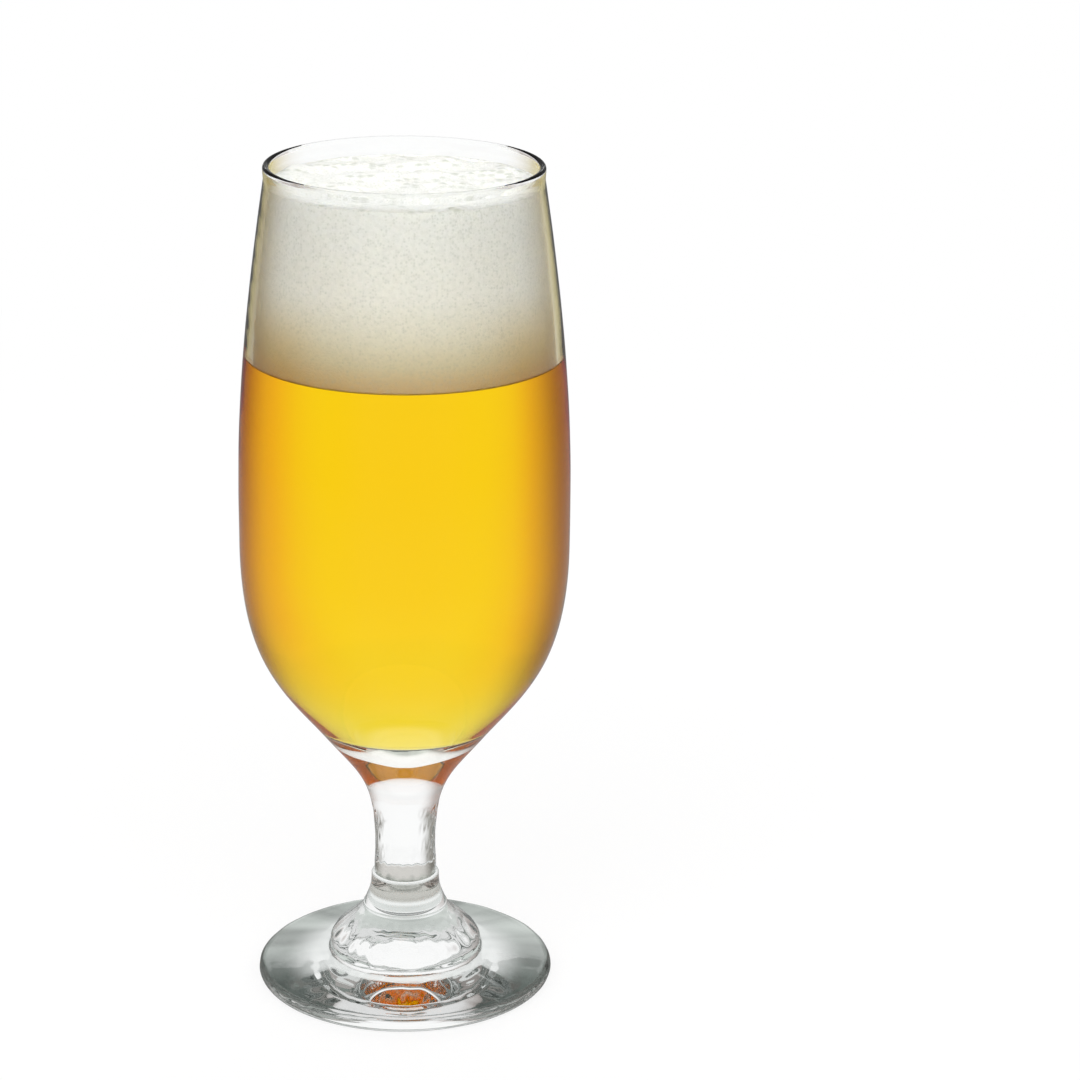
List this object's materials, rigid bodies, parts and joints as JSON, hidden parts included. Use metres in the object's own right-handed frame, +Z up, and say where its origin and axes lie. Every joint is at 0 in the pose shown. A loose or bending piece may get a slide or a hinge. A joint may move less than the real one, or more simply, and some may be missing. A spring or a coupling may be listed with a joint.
{
  "type": "chalice beer glass",
  "caption": "Stemmed clear goblet on a round domed foot, filled with golden beer under a white head of foam.",
  "frame": {"origin": "centre of the foot's underside, on the plane that the glass stands on", "axes": "+Z up along the axis of the stem and bowl; the glass is round, so +X and +Y are any two directions across it"},
  "size_m": [0.0703, 0.0704, 0.182],
  "materials": {
    "foot_glass": "polished",
    "stem_glass": "polished",
    "bowl_glass": "polished",
    "beer": "gloss",
    "beer_foam": "matte"
  },
  "bodies": {
    "root": {"foot": "foot_glass", "stem": "stem_glass", "bowl": "bowl_glass", "beer": "beer", "foam_head": "beer_foam"}
  },
  "joints": []
}
